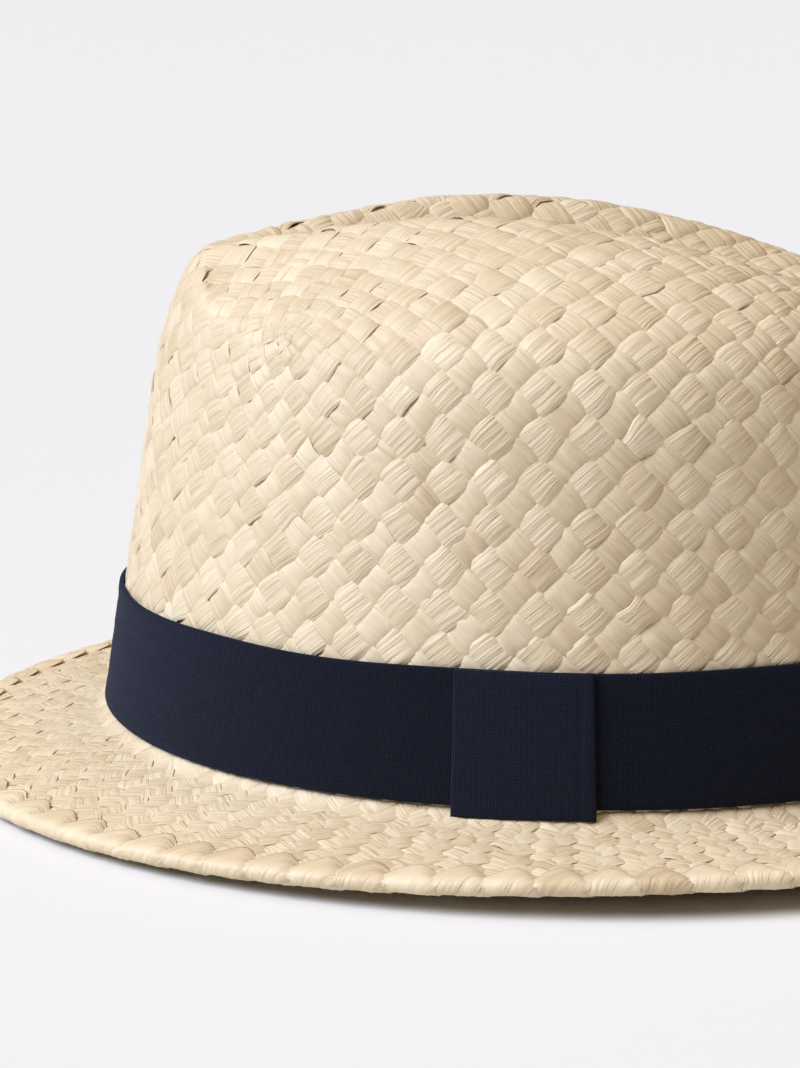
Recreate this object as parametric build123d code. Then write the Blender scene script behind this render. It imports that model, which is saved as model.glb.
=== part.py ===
from build123d import *
import os
from math import asin, atan2, cos, degrees, exp, pi, sin, sqrt, tanh

# A plaited straw fedora with a short, snapped brim.
# Millimetres. +Z is up, -Y is the front of the hat and +X is the wearer's left.
# The origin is on the table, under the middle of the brim.

# ---- driving dimensions ----
STRAW = 1.8                   # thickness of the plaited straw body
HEAD_Z = 10.6                 # height of the head line, where the ribbon starts
CROWN_HALF_LENGTH = 100.0     # crown, outside, at the head line
CROWN_HALF_WIDTH = 85.0
CROWN_BASE_Z = 8.8            # lower edge of the crown
WALL_LEAN = 0.155             # inward lean of the crown wall, mm per mm of height
TAPER = 0.006                 # extra lean of the upper wall, per mm squared
TAPER_FROM_Z = 78.0

PEAK_Y = -22.0                # highest place of the crown's two ridges
PEAK_Z = 115.0
RIDGE_FRONT_Y = -76.0         # the pinch, where the ridges meet
RIDGE_BACK_Y = 72.0
RIDGE_HALF_WIDTH = 28.0       # half the distance between the ridges, mid length
RIDGE_SPREAD = 0.60           # how much the ridges spread towards the back
FALL_FRONT = (0.0053, 0.018)  # how the ridges fall from the peak: per mm squared, and its easing
FALL_BACK = (0.00297, 0.001)
DENT_DEPTH = 19.0             # centre dent below the ridges
SHOULDER_DROP_END = 9.0       # ridge to wall top, at the front and the back
SHOULDER_DROP_SIDE = 20.0     # what the sides drop more than that
SHOULDER_ROUND = 1.8          # 2 is a circular shoulder, less is softer
SHOULDER_END = 0.95           # where the roof runs on past the wall as a straight slope
ROOF_EDGE_Z = 95.0            # height at which the roof's own oval is taken
ROOF_OVERHANG = 3.0

PINCH_DEPTH = 2.6             # finger dents each side of the front
PINCH_ANGLE = 38.0            # degrees from the front
PINCH_Z = 84.0
PINCH_SPREAD = 20.0           # degrees to each side
PINCH_HEIGHT = 22.0           # mm up and down

BRIM_HALF_LENGTH = 137.0
BRIM_HALF_WIDTH = 112.5
BRIM_IN_Z = 7.8               # mid-thickness of the brim where it meets the crown
BRIM_OUT_Z = 2.0              # the same at the front and back of its edge
BRIM_SIDE_LIFT = 2.8          # the sides of the brim curl up by this much
CURL_BACK = 10.0              # degrees by which the curl is highest behind the middle
EDGE_WIDTH = 5.0              # strands turned over the brim's edge
EDGE_HEIGHT = 4.6             # its underside is cut flat on the table at the front and back

COLLAR_THICKNESS = 1.2        # the brim's upturn, inside the crown
COLLAR_TOP_Z = 17.0

RIBBON_WIDTH = 25.5
RIBBON_THICKNESS = 0.8
RIBBON_SLIT = 0.6             # between the ribbon's ends, under the bow
TAB_WIDTH = 26.7              # flat bow over the ribbon's join, on the left side
TAB_THICKNESS = 1.0
TAB_CENTRE_Y = -11.55
TAB_BOTTOM_Z = 8.9
TAB_RISE = 0.2                # the bow stands this much above the ribbon

SWEATBAND_THICKNESS = 0.8
SWEATBAND_BOTTOM_Z = 8.0
SWEATBAND_TOP_Z = 36.0
SEAM_GAP = 0.7                # room for the seam between collar and sweatband
SWEATBAND_SLIT = 1.5          # between the sweatband's ends, at the back
TAPE_WIDTH = 12.0             # tape over the sweatband's join
TAPE_THICKNESS = 0.5
TAPE_BOTTOM_Z = 9.5
TAPE_TOP_Z = 35.0
BACK_ANGLE = 90.0             # degrees about the crown
LABEL_WIDTH = 22.0
LABEL_THICKNESS = 0.4
LABEL_ANGLE = 60.0            # degrees about the crown: back left, inside
LABEL_BOTTOM_Z = 17.0
LABEL_TOP_Z = 33.0

THREAD = 0.45
SEAM_STITCHES = 60            # through the crown's foot and the brim's upturn
SEAM_STITCH = 4.5
SEAM_Z = 13.0
HEM_STITCHES = 72             # along the sweatband's lower edge
HEM_STITCH = 4.0
HEM_Z = 10.5
HEM_BREAK = 6.0               # degrees left free each side of the tape
JOIN_STITCHES = (4.0, 9.5, 15.0, 20.5)    # heights above the ribbon's lower edge
JOIN_STITCH = 4.0
LABEL_STITCHES = 5
LABEL_STITCH = 2.2
LABEL_STITCH_Z = 31.0
FIT = 0.05                    # clearance between pieces that lie on each other

BIG = 400.0                   # longer than anything here, for cutting
CROWN_STEP = 7.2              # between the crown's sections, up the wall
ROOF_GRID = (81.0, 96.0, 3.0)             # half width, half length and step of the roof's surface
BRIM_GRID = (122.0, 144.0, 6.0)
GRID_FIT = 0.2                # how closely a surface follows its grid


# ---- the crown's shape ----
def wall_inset(z):
    """How far the crown wall has come in at height z."""
    return WALL_LEAN * (z - HEAD_Z) + TAPER * max(z - TAPER_FROM_Z, 0.0) ** 2


def pinch(angle, z):
    """Depth of the two finger dents beside the front, at an angle about the crown."""
    from_front = abs((angle + 90.0 + 180.0) % 360.0 - 180.0)
    across = (from_front - PINCH_ANGLE) / PINCH_SPREAD
    up = (z - PINCH_Z) / PINCH_HEIGHT
    return PINCH_DEPTH * exp(-across ** 2 - up ** 2)


def ridge_height(y):
    """Height of the ridges along the crown's length."""
    along = abs(y - PEAK_Y)
    fall, ease = FALL_FRONT if y < PEAK_Y else FALL_BACK
    return PEAK_Z - fall * along ** 2 / (1.0 + ease * along)


def roof_height(x, y):
    """Top surface of the crown: two ridges, a centre dent and a rounded shoulder."""
    middle = (RIDGE_FRONT_Y + RIDGE_BACK_Y) / 2.0
    along = (y - middle) / (RIDGE_BACK_Y - middle)
    half_width = RIDGE_HALF_WIDTH * (1.0 + RIDGE_SPREAD * max(-1.3, min(1.3, along)))
    loop = (abs(x / half_width) ** 3 + abs(along) ** 3) ** (1.0 / 3.0)
    top = ridge_height(y)
    if loop < 1.0:
        depth = DENT_DEPTH * (1.0 - 0.35 * max(-along, 0.0) ** 2)
        return top - depth * (1.0 - loop ** 2) ** 2
    # the roof runs down to an oval a little outside the top of the wall
    reach = wall_inset(ROOF_EDGE_Z) - ROOF_OVERHANG
    oval = sqrt((x / (CROWN_HALF_WIDTH - reach)) ** 2 + (y / (CROWN_HALF_LENGTH - reach)) ** 2)
    outside = loop - 1.0
    way = outside / max(outside + 2.0 * (1.0 - oval), 0.2 * outside + 1e-9)
    drop = SHOULDER_DROP_END + SHOULDER_DROP_SIDE * sqrt(max(1.0 - along ** 2, 0.0))
    near = min(way, SHOULDER_END)
    left = 1.0 - near ** SHOULDER_ROUND
    fall = 1.0 - left ** (1.0 / SHOULDER_ROUND)
    slope = left ** (1.0 / SHOULDER_ROUND - 1.0) * near ** (SHOULDER_ROUND - 1.0)
    run_on = 0.2 * tanh(max(way - SHOULDER_END, 0.0) / 0.2)
    return top - drop * (fall + slope * run_on)


def grid(low, high, step):
    """Evenly spaced values from low to high."""
    count = round((high - low) / step)
    return [low + (high - low) * i / count for i in range(count + 1)]


def height_surface(height, extent, thickness=0.0):
    """Smooth surface z = height(x, y), or the one that lies a thickness below it."""
    half_x, half_y, step = extent
    rows = []
    for x in grid(-half_x, half_x, step):
        row = []
        for y in grid(-half_y, half_y, step):
            z = height(x, y)
            across = (height(x + 0.5, y) - height(x - 0.5, y))
            along = (height(x, y + 0.5) - height(x, y - 0.5))
            normal = Vector(-across, -along, 1.0).normalized()
            row.append(Vector(x, y, z) - normal * thickness)
        rows.append(row)
    return Face.make_surface_from_array_of_points(rows, tol=GRID_FIT, min_deg=3, max_deg=3)


def below(surface):
    """Everything under a height surface."""
    return Solid.extrude(surface, Vector(0, 0, -BIG))


def above(surface):
    """Everything over a height surface."""
    return Solid.extrude(surface, Vector(0, 0, BIG))


def crown_section(z, inset):
    """Closed outline of the crown at height z, with its finger dents."""
    points = []
    count = 36
    for i in range(count):
        angle = 360.0 * i / count
        way_in = wall_inset(z) + inset + pinch(angle, z)
        turn = angle * pi / 180.0
        points.append(
            Vector((CROWN_HALF_WIDTH - way_in) * cos(turn), (CROWN_HALF_LENGTH - way_in) * sin(turn), z)
        )
    return Face(Wire([Edge.make_spline(points, periodic=True)]))


def oval_ring(z_low, z_high, outer_inset, inner_inset):
    """A ring that follows the crown wall between two heights."""
    shells = []
    for inset, extra in ((outer_inset, 0.0), (inner_inset, 1.0)):
        low, high = z_low - extra, z_high + extra
        sections = []
        for z in (low, high):
            way_in = WALL_LEAN * (z - HEAD_Z) + inset
            oval = Ellipse(CROWN_HALF_WIDTH - way_in, CROWN_HALF_LENGTH - way_in)
            sections.append(Plane.XY.offset(z) * oval)
        shells.append(loft(sections))
    return shells[0] - shells[1]


def make_crown():
    """Straw crown: leaning walls, rounded shoulder, two ridges and a centre dent."""
    heights = grid(CROWN_BASE_Z, CROWN_BASE_Z + 16 * CROWN_STEP, CROWN_STEP)
    outside = loft([crown_section(z, 0.0) for z in heights])
    inside_heights = [CROWN_BASE_Z - 2.0] + heights[1:]
    inside = loft([crown_section(z, STRAW) for z in inside_heights])
    outer = outside - above(height_surface(roof_height, ROOF_GRID))
    inner = inside - above(height_surface(roof_height, ROOF_GRID, STRAW))
    return outer - inner


# ---- the brim's shape ----
def brim_place(x, y):
    """How far out over the brim a point lies: 0 at the crown, 1 at the edge."""
    wide = BRIM_HALF_WIDTH - CROWN_HALF_WIDTH
    long = BRIM_HALF_LENGTH - CROWN_HALF_LENGTH
    low, high = -2.4, 3.0
    for _ in range(40):
        mid = (low + high) / 2.0
        size_x, size_y = CROWN_HALF_WIDTH + mid * wide, CROWN_HALF_LENGTH + mid * long
        if (x / size_x) ** 2 + (y / size_y) ** 2 > 1.0:
            low = mid
        else:
            high = mid
    return low


def brim_height(x, y):
    """Mid-thickness height of the brim. It slopes down, and its sides curl up."""
    place = brim_place(x, y)
    run = place if place > 0.0 else place / (1.0 - 2.0 * place)
    about = atan2(y * BRIM_HALF_WIDTH, abs(x) * BRIM_HALF_LENGTH)
    side = cos(about - CURL_BACK * pi / 180.0)
    lift = BRIM_SIDE_LIFT * side ** 4 * max(place, 0.0) ** 2
    return BRIM_IN_Z + (BRIM_OUT_Z - BRIM_IN_Z) * run + lift


def brim_layer(rise):
    """Everything under the brim's mid surface, raised by a distance."""
    return below(height_surface(lambda x, y: brim_height(x, y) + rise, BRIM_GRID))


def oval_disc(half_width, half_length, z_low, z_high):
    return Pos(0, 0, z_low) * extrude(Ellipse(half_width, half_length), z_high - z_low)


def make_brim():
    """Straw brim with its short upturn inside the crown."""
    collar_in = STRAW + FIT + COLLAR_THICKNESS
    rim = EDGE_WIDTH / 2.0
    plate = oval_disc(BRIM_HALF_WIDTH - rim, BRIM_HALF_LENGTH - rim, -5.0, 20.0)
    plate = (plate & brim_layer(STRAW / 2.0)) - brim_layer(-STRAW / 2.0)
    hole_inset = collar_in + WALL_LEAN * (BRIM_IN_Z - HEAD_Z)
    plate = plate - oval_disc(CROWN_HALF_WIDTH - hole_inset, CROWN_HALF_LENGTH - hole_inset, -6.0, 30.0)
    collar = oval_ring(BRIM_IN_Z, COLLAR_TOP_Z, STRAW + FIT, collar_in)
    return plate + collar


def make_brim_edge(brim):
    """Strands folded over the brim's edge, flat where they rest on the table."""
    half = EDGE_HEIGHT / 2.0
    ring = oval_disc(BRIM_HALF_WIDTH, BRIM_HALF_LENGTH, 0.0, 20.0)
    ring = ring - oval_disc(BRIM_HALF_WIDTH - EDGE_WIDTH, BRIM_HALF_LENGTH - EDGE_WIDTH, -1.0, 21.0)
    return (ring & brim_layer(half)) - brim_layer(-half) - brim


# ---- ribbon, bow and lining ----
def make_hat_band():
    """Ribbon round the foot of the crown, cut where its ends meet under the bow."""
    ring = oval_ring(HEAD_Z, HEAD_Z + RIBBON_WIDTH, -FIT - RIBBON_THICKNESS, -FIT)
    slit = Pos(CROWN_HALF_WIDTH, TAB_CENTRE_Y, 0.0) * Box(BIG / 10.0, RIBBON_SLIT, BIG)
    return ring - slit


def make_band_tab():
    """Flat bow: a folded keeper of the ribbon's cloth that covers the ribbon's join."""
    inner = -3.0 * FIT - RIBBON_THICKNESS - THREAD
    outer = inner - TAB_THICKNESS
    plate = oval_ring(TAB_BOTTOM_Z, HEAD_Z + RIBBON_WIDTH + TAB_RISE, outer, inner)
    window = Pos(CROWN_HALF_WIDTH, TAB_CENTRE_Y, 0.0) * Box(BIG / 10.0, TAB_WIDTH, BIG)
    return plate & window


def wall_frame(angle, z, inset):
    """Frame on the crown wall: X along the wall, Z out of it."""
    turn = angle * pi / 180.0
    way_in = WALL_LEAN * (z - HEAD_Z) + inset
    half_x, half_y = CROWN_HALF_WIDTH - way_in, CROWN_HALF_LENGTH - way_in
    along = Vector(-half_x * sin(turn), half_y * cos(turn), 0.0)
    out = Vector(half_y * cos(turn), half_x * sin(turn), 0.0)
    place = Vector(half_x * cos(turn), half_y * sin(turn), z)
    return Plane(origin=place, x_dir=along, z_dir=out)


def stitch(frame, length):
    """One thread stitch lying along a frame's X axis."""
    return frame * Rot(0, 90, 0) * Cylinder(THREAD / 2.0, length)


def make_seam(count, z, inset, length, gap=0.0):
    """A row of stitches round the crown, with a gap at the back where asked."""
    row = []
    for i in range(count):
        angle = 360.0 * (i + 0.5) / count
        if abs(angle - BACK_ANGLE) > gap:
            row.append(stitch(wall_frame(angle, z, inset), length))
    return Compound(children=row)


def make_band_end_stitches():
    """Tacks across the ribbon's join, hidden under the bow."""
    angle = degrees(asin(TAB_CENTRE_Y / CROWN_HALF_LENGTH))
    row = []
    for rise in JOIN_STITCHES:
        frame = wall_frame(angle, HEAD_Z + rise, -RIBBON_THICKNESS - 2.0 * FIT - THREAD / 2.0)
        row.append(stitch(frame, JOIN_STITCH))
    return Compound(children=row)


SWEATBAND_OUT = STRAW + FIT + COLLAR_THICKNESS + SEAM_GAP
SWEATBAND_IN = SWEATBAND_OUT + SWEATBAND_THICKNESS


def make_sweatband():
    """Cloth band inside the crown, open by a narrow slit at the back."""
    ring = oval_ring(SWEATBAND_BOTTOM_Z, SWEATBAND_TOP_Z, SWEATBAND_OUT, SWEATBAND_IN)
    slit = Pos(0, CROWN_HALF_LENGTH, 0.0) * Box(SWEATBAND_SLIT, BIG / 10.0, BIG)
    return ring - slit


def make_inner_patch(angle, width, z_low, z_high, thickness, gap):
    """A flat patch of cloth lying on the inside of the sweatband."""
    ring = oval_ring(z_low, z_high, SWEATBAND_IN + gap, SWEATBAND_IN + gap + thickness)
    frame = wall_frame(angle, (z_low + z_high) / 2.0, SWEATBAND_IN)
    return ring & (frame * Box(width, BIG / 5.0, BIG / 10.0))


def make_label_stitches():
    """Short stitches along the label's upper edge, on the label's face."""
    inset = SWEATBAND_IN + LABEL_THICKNESS + 3.0 * FIT + THREAD / 2.0
    pitch = degrees(LABEL_WIDTH / (LABEL_STITCHES + 0.5) / CROWN_HALF_WIDTH)
    row = []
    for i in range(LABEL_STITCHES):
        angle = LABEL_ANGLE + (i - (LABEL_STITCHES - 1) / 2.0) * pitch
        row.append(stitch(wall_frame(angle, LABEL_STITCH_Z, inset), LABEL_STITCH))
    return Compound(children=row)


def build():
    """Every piece of the hat, by name."""
    seam_inset = STRAW + FIT + COLLAR_THICKNESS + SEAM_GAP / 2.0
    hem_inset = SWEATBAND_IN + THREAD / 2.0 + FIT
    nodes = {}
    nodes["crown"] = make_crown()
    nodes["brim"] = make_brim()
    nodes["brim_folded_edge"] = make_brim_edge(nodes["brim"])
    nodes["crown_brim_seam"] = make_seam(SEAM_STITCHES, SEAM_Z, seam_inset, SEAM_STITCH)
    nodes["hat_band"] = make_hat_band()
    nodes["band_tab"] = make_band_tab()
    nodes["band_end_stitches"] = make_band_end_stitches()
    nodes["sweatband"] = make_sweatband()
    nodes["sweatband_join_tape"] = make_inner_patch(
        BACK_ANGLE, TAPE_WIDTH, TAPE_BOTTOM_Z, TAPE_TOP_Z, TAPE_THICKNESS, FIT)
    nodes["sweatband_seam"] = make_seam(HEM_STITCHES, HEM_Z, hem_inset, HEM_STITCH, HEM_BREAK)
    nodes["size_label"] = make_inner_patch(
        LABEL_ANGLE, LABEL_WIDTH, LABEL_BOTTOM_Z, LABEL_TOP_Z, LABEL_THICKNESS, FIT)
    nodes["label_stitches"] = make_label_stitches()
    return nodes


os.makedirs("parts", exist_ok=True)
for name, shape in build().items():
    export_step(shape, "parts/" + name + ".step")
    print(name, round(shape.volume, 1), shape.bounding_box())
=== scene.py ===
import math
import bpy
import numpy as np
from mathutils import Matrix, Vector
from mathutils.bvhtree import BVHTree


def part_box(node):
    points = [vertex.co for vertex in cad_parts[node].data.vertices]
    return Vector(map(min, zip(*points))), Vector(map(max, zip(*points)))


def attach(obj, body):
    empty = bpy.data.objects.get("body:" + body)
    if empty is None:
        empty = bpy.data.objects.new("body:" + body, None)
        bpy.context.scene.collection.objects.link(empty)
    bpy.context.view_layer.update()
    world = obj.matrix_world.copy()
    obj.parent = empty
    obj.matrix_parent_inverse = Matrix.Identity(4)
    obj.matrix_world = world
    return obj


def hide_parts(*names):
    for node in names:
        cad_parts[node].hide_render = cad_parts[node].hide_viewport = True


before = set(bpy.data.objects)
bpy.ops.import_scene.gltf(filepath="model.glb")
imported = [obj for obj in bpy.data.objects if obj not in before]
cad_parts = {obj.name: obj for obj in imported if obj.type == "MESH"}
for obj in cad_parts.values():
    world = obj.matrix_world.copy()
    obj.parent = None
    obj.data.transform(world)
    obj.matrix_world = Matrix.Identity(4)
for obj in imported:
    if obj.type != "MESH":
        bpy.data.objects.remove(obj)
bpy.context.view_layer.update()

# A plaited straw fedora. Shapes are worked out in millimetres in the CAD's frame:
# +Z up, -Y the front of the hat, +X the wearer's left. Meshes are written in metres.
MM = 0.001

# ---- the straw body, as the CAD has it, apart from DENT_EDGE, CROWN_BASE_Z and the brim's
# lift, dip and curl ----
HEAD_Z = 10.6
CROWN_HALF = np.array([85.0, 100.0])      # half width and half length at the head line
CROWN_BASE_Z = 9.2
WALL_LEAN = 0.155
TAPER = 0.006
TAPER_FROM_Z = 78.0
PEAK_Y, PEAK_Z = -22.0, 115.0
RIDGE_FRONT_Y, RIDGE_BACK_Y = -76.0, 72.0
RIDGE_HALF_WIDTH, RIDGE_SPREAD = 28.0, 0.60
DENT_DEPTH = 19.0
DENT_EDGE = 1.3               # how softly the ridges turn into the dent: 1 is a sharp crest
DENT_EASING = 0.35            # the dent grows this much shallower towards the front
DROP_END, DROP_SIDE = 9.0, 20.0           # ridge to wall top at the ends, and what the sides add
FALL_FRONT = (0.0053, 0.018)              # how the ridges fall from the peak, and its easing
FALL_BACK = (0.00297, 0.001)
SHOULDER_ROUND = 1.8          # 2 is a circular shoulder, less is softer
SHOULDER_END = 0.95           # where the roof runs on past the wall
SHOULDER_BLEND = 2.5          # softness of the join of wall and roof
ROOF_EDGE_Z, ROOF_OVERHANG = 95.0, 3.0    # the roof's own oval is the wall's at this height
PINCH_DEPTH, PINCH_ANGLE, PINCH_Z = 2.6, 38.0, 84.0
PINCH_SPREAD, PINCH_HEIGHT = 20.0, 22.0   # degrees to each side, and millimetres up and down
BRIM_HALF = np.array([112.5, 137.0])
BRIM_IN_Z, BRIM_OUT_Z, BRIM_LIFT = 7.8, 2.0, 3.5
BRIM_DIP = 1.2                # the front and back of the brim droop by this much
CURL_BACK = math.radians(18.0)            # the curl is highest this far behind the middle

# ---- the weave ----
STRAW_MID = -0.85             # mid-thickness of the weave below the outer surface
TOP_CELLS = (14, 16)          # cells of the top's square weave, across and along
CROWN_STRANDS = 2 * sum(TOP_CELLS)
WALL_ROWS = 25                # rows of crossings from the top's edge down to the brim
RIM_INSET = 23.0              # the top's edge lies this far inside the head line
TOP_INSET = 69.0              # the top's middle lies this much further in
ROW_EASING = 0.09             # rows are a little taller near the top, where the crown is narrower
FAN_ROWS = 9.0                # rows over which strands fan out from the top's edge
SETTLED_ROWS = (20.0, 10.0)   # rows below the first are fixed, easing in over the second
BRIM_STRANDS = 86
WEAVE_RISE = 0.46             # how far a strand rises and dives at a crossing
CROSSING = 2.0                # how sharply it does so: higher gives flatter tiles
STRAND_THICK = 0.30
EDGE_DRAWN = 0.24             # how far a ribbon's edges are drawn down where it lies on top
FOLDS, FOLD_SHARPNESS = 3, 0.7            # lengthwise waves in a ribbon, lower is sharper
TWIST, WANDER = 0.25, 0.28    # random lean and sideways wander along a ribbon
SAMPLES = 5                   # points along a strand for each crossing of the crown
LOOSE = (1.22, 0.24, 0.035)   # fullness, puff and fold size of the crown's looser family
TAUT = (1.16, 0.10, 0.075)    # the same of the other
STRANDS_A_PIECE = 15          # crown strands that are written as one piece
PINCH_CHANCE = 0.045          # share of the crossings where a strand is folded narrow
SEED = 20


# ============================ surfaces ============================
def wall_inset(z):
    return WALL_LEAN * (z - HEAD_Z) + TAPER * np.maximum(z - TAPER_FROM_Z, 0.0) ** 2


def wall_height(inset):
    """Height at which the wall has come in by an inset: wall_inset turned round."""
    straight = HEAD_Z + inset / WALL_LEAN
    rest = np.maximum(inset - wall_inset(np.float64(TAPER_FROM_Z)), 0.0)
    curved = (np.sqrt(WALL_LEAN ** 2 + 4.0 * TAPER * rest) - WALL_LEAN) / (2.0 * TAPER)
    return np.where(rest > 0.0, TAPER_FROM_Z + curved, straight)


def ridge_height(y):
    along = np.abs(y - PEAK_Y)
    front = FALL_FRONT[0] * along ** 2 / (1.0 + FALL_FRONT[1] * along)
    back = FALL_BACK[0] * along ** 2 / (1.0 + FALL_BACK[1] * along)
    return PEAK_Z - np.where(y < PEAK_Y, front, back)


def roof_height(x, y):
    """Top of the crown: two ridges that meet in the front pinch, with a dent between."""
    middle = (RIDGE_FRONT_Y + RIDGE_BACK_Y) / 2.0
    along = (y - middle) / (RIDGE_BACK_Y - middle)
    half = RIDGE_HALF_WIDTH * (1.0 + RIDGE_SPREAD * np.clip(along, -1.3, 1.3))
    loop = (np.abs(x / half) ** 3 + np.abs(along) ** 3) ** (1.0 / 3.0)
    top = ridge_height(y)
    depth = DENT_DEPTH * (1.0 - DENT_EASING * np.maximum(-along, 0.0) ** 2)
    inside = top - depth * (1.0 - np.minimum(loop, 1.0) ** 2) ** DENT_EDGE
    reach = wall_inset(np.float64(ROOF_EDGE_Z)) - ROOF_OVERHANG
    oval = np.sqrt((x / (CROWN_HALF[0] - reach)) ** 2 + (y / (CROWN_HALF[1] - reach)) ** 2)
    out = np.maximum(loop - 1.0, 0.0)
    way = out / np.maximum(out + 2.0 * (1.0 - oval), 0.2 * out + 1e-9)
    drop = DROP_END + DROP_SIDE * np.sqrt(np.maximum(1.0 - along ** 2, 0.0))
    near = np.minimum(way, SHOULDER_END)
    power = SHOULDER_ROUND
    fall = 1.0 - (1.0 - near ** power) ** (1.0 / power)
    slope = (1.0 - near ** power) ** (1.0 / power - 1.0) * near ** (power - 1.0)
    run_on = 0.2 * np.tanh(np.maximum(way - SHOULDER_END, 0.0) / 0.2)
    outside = top - drop * (fall + slope * run_on)
    return np.where(loop < 1.0, inside, outside)


def crown_height(x, y, inset):
    """Wall and roof, blended over a rounded shoulder."""
    soft = SHOULDER_BLEND
    wall, roof = wall_height(inset), roof_height(x, y)
    low = np.minimum(wall, roof)
    return low - soft * np.log(np.exp((low - wall) / soft) + np.exp((low - roof) / soft))


def pinch(angle, z):
    """Depth of the two finger dents beside the front."""
    off = np.abs((np.degrees(angle) + 90.0 + 180.0) % 360.0 - 180.0)
    across, up = (off - PINCH_ANGLE) / PINCH_SPREAD, (z - PINCH_Z) / PINCH_HEIGHT
    return PINCH_DEPTH * np.exp(-across ** 2 - up ** 2)


def crown_profiles(angles, samples):
    """Points down the crown at each angle, evenly spaced from the top's edge to the base."""
    inset = np.linspace(wall_inset(np.float64(CROWN_BASE_Z)), RIM_INSET, 420)
    a, d = np.meshgrid(angles, inset, indexing="ij")
    x = (CROWN_HALF[0] - d) * np.cos(a)
    y = (CROWN_HALF[1] - d) * np.sin(a)
    z = crown_height(x, y, d)
    dent = pinch(a, z) * np.clip((RIM_INSET - d) / 8.0, 0.0, 1.0)
    x = (CROWN_HALF[0] - d - dent) * np.cos(a)
    y = (CROWN_HALF[1] - d - dent) * np.sin(a)
    points = np.stack([x, y, z], -1)
    lengths = np.linalg.norm(np.diff(points, axis=1), axis=2)
    run = np.concatenate([np.zeros((len(angles), 1)), np.cumsum(lengths, 1)], 1)
    out = np.empty((len(angles), len(samples), 3))
    for i in range(len(angles)):
        want = run[i, -1] * (1.0 - samples)
        for k in range(3):
            out[i, :, k] = np.interp(want, run[i], points[i, :, k])
    return out


def top_point(u, v):
    """Square weave coordinates, -1 to 1, laid out over the oval top of the crown."""
    rim = CROWN_HALF - RIM_INSET
    x = rim[0] * u * np.sqrt(1.0 - v * v / 2.0)
    y = rim[1] * v * np.sqrt(1.0 - u * u / 2.0)
    scale = np.sqrt((x / rim[0]) ** 2 + (y / rim[1]) ** 2)
    return np.stack([x, y, crown_height(x, y, RIM_INSET + (1.0 - scale) * TOP_INSET)], -1)


def crown_tree():
    """The crown's outer surface as a fine mesh that points can be put back onto."""
    count, rows, rings = 480, 110, 64
    angles = np.linspace(0.0, 2.0 * math.pi, count, endpoint=False)
    wall = crown_profiles(angles, np.linspace(1.0, 0.0, rows)).transpose(1, 0, 2)
    rim = CROWN_HALF - RIM_INSET
    top = []
    for ring in range(1, rings):
        size = 1.0 - ring / rings
        x, y = rim[0] * size * np.cos(angles), rim[1] * size * np.sin(angles)
        z = crown_height(x, y, RIM_INSET + (1.0 - size) * TOP_INSET + 0.0 * x)
        top.append(np.stack([x, y, z], -1))
    loops = np.concatenate([wall, np.array(top)], 0)
    total = len(loops)
    faces = []
    for r in range(total - 1):
        for c in range(count):
            d = (c + 1) % count
            faces.append((r * count + c, r * count + d, (r + 1) * count + d, (r + 1) * count + c))
    faces.append(tuple((total - 1) * count + c for c in range(count)))
    return BVHTree.FromPolygons([tuple(p) for p in loops.reshape(-1, 3)], faces)


def on_surface(tree, points):
    """Nearest places on the crown, and the way out of it there."""
    places, normals = np.empty_like(points), np.empty_like(points)
    for i, point in enumerate(points):
        place, normal, _, _ = tree.find_nearest(Vector(point))
        places[i], normals[i] = place, normal
    return places, normals


# ============================ the crown's weave ============================
def crown_net():
    """Crossings of the crown's strands, and each strand as a list of crossings.

    The top is a square weave turned by 45 degrees. Its strands run over the top's edge and
    on down the wall as two slanting families, which cross in rows of CROWN_STRANDS.
    """
    across, along = TOP_CELLS
    points, wall_id, top_id = [], {}, {}
    rows = np.arange(WALL_ROWS + 1)
    depth = (rows / WALL_ROWS) * (1.0 + ROW_EASING * (1.0 - rows / WALL_ROWS))
    marks = np.arange(2 * CROWN_STRANDS) / 2.0
    sides = [along, across, along, across]
    starts = np.cumsum([0] + sides)
    edge_angle = np.empty(len(marks))
    for i, mark in enumerate(marks):
        side = int(np.searchsorted(starts, mark, side="right")) - 1
        part = 2.0 * (mark - starts[side]) / sides[side] - 1.0
        edge_angle[i] = side * math.pi / 2.0 + math.asin(part / math.sqrt(2.0))
    even = even_angles(marks)
    for m in rows:
        share = min(1.0, m / FAN_ROWS)
        turn = edge_angle + (even - edge_angle) * share * share * (3.0 - 2.0 * share)
        ring = crown_profiles(turn, np.array([depth[m]]))[:, 0]
        for i in range(len(marks)):
            if (i + m) % 2 == 1:
                wall_id[(m, i)] = len(points)
                points.append(ring[i])
    for i in range(1, 2 * across):
        for j in range(1, 2 * along):
            if (i + j) % 2 == 1:
                top_id[(i, j)] = len(points)
                points.append(top_point(np.float64(i / across - 1.0), np.float64(j / along - 1.0)))
    edge_mark = {}
    for i in range(2 * sum(sides)):
        side = int(np.searchsorted(starts, i / 2.0, side="right")) - 1
        part = i - 2 * starts[side]
        spot = [(2 * across, part), (2 * across - part, 2 * along),
                (0, 2 * along - part), (part, 0)][side]
        edge_mark[spot] = i
    strands = []
    for slant in (1, -1):
        for c in range(1, 2 * (across + along), 2):
            line = []
            for i in range(2 * across + 1):
                j = c - i if slant == 1 else i - 2 * across + c
                if 0 <= j <= 2 * along:
                    line.append((i, j))
            if len(line) < 2:
                continue
            first, last = edge_mark[line[0]], edge_mark[line[-1]]
            a = wall_part(first, line[0], line[1], across, along)
            b = wall_part(last, line[-1], line[-2], across, along)
            strand = [wall_id[k] for k in reversed(a)] + [top_id[k] for k in line[1:-1]]
            strands.append((strand + [wall_id[k] for k in b], a))
    return np.array(points), strands, wall_id


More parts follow.
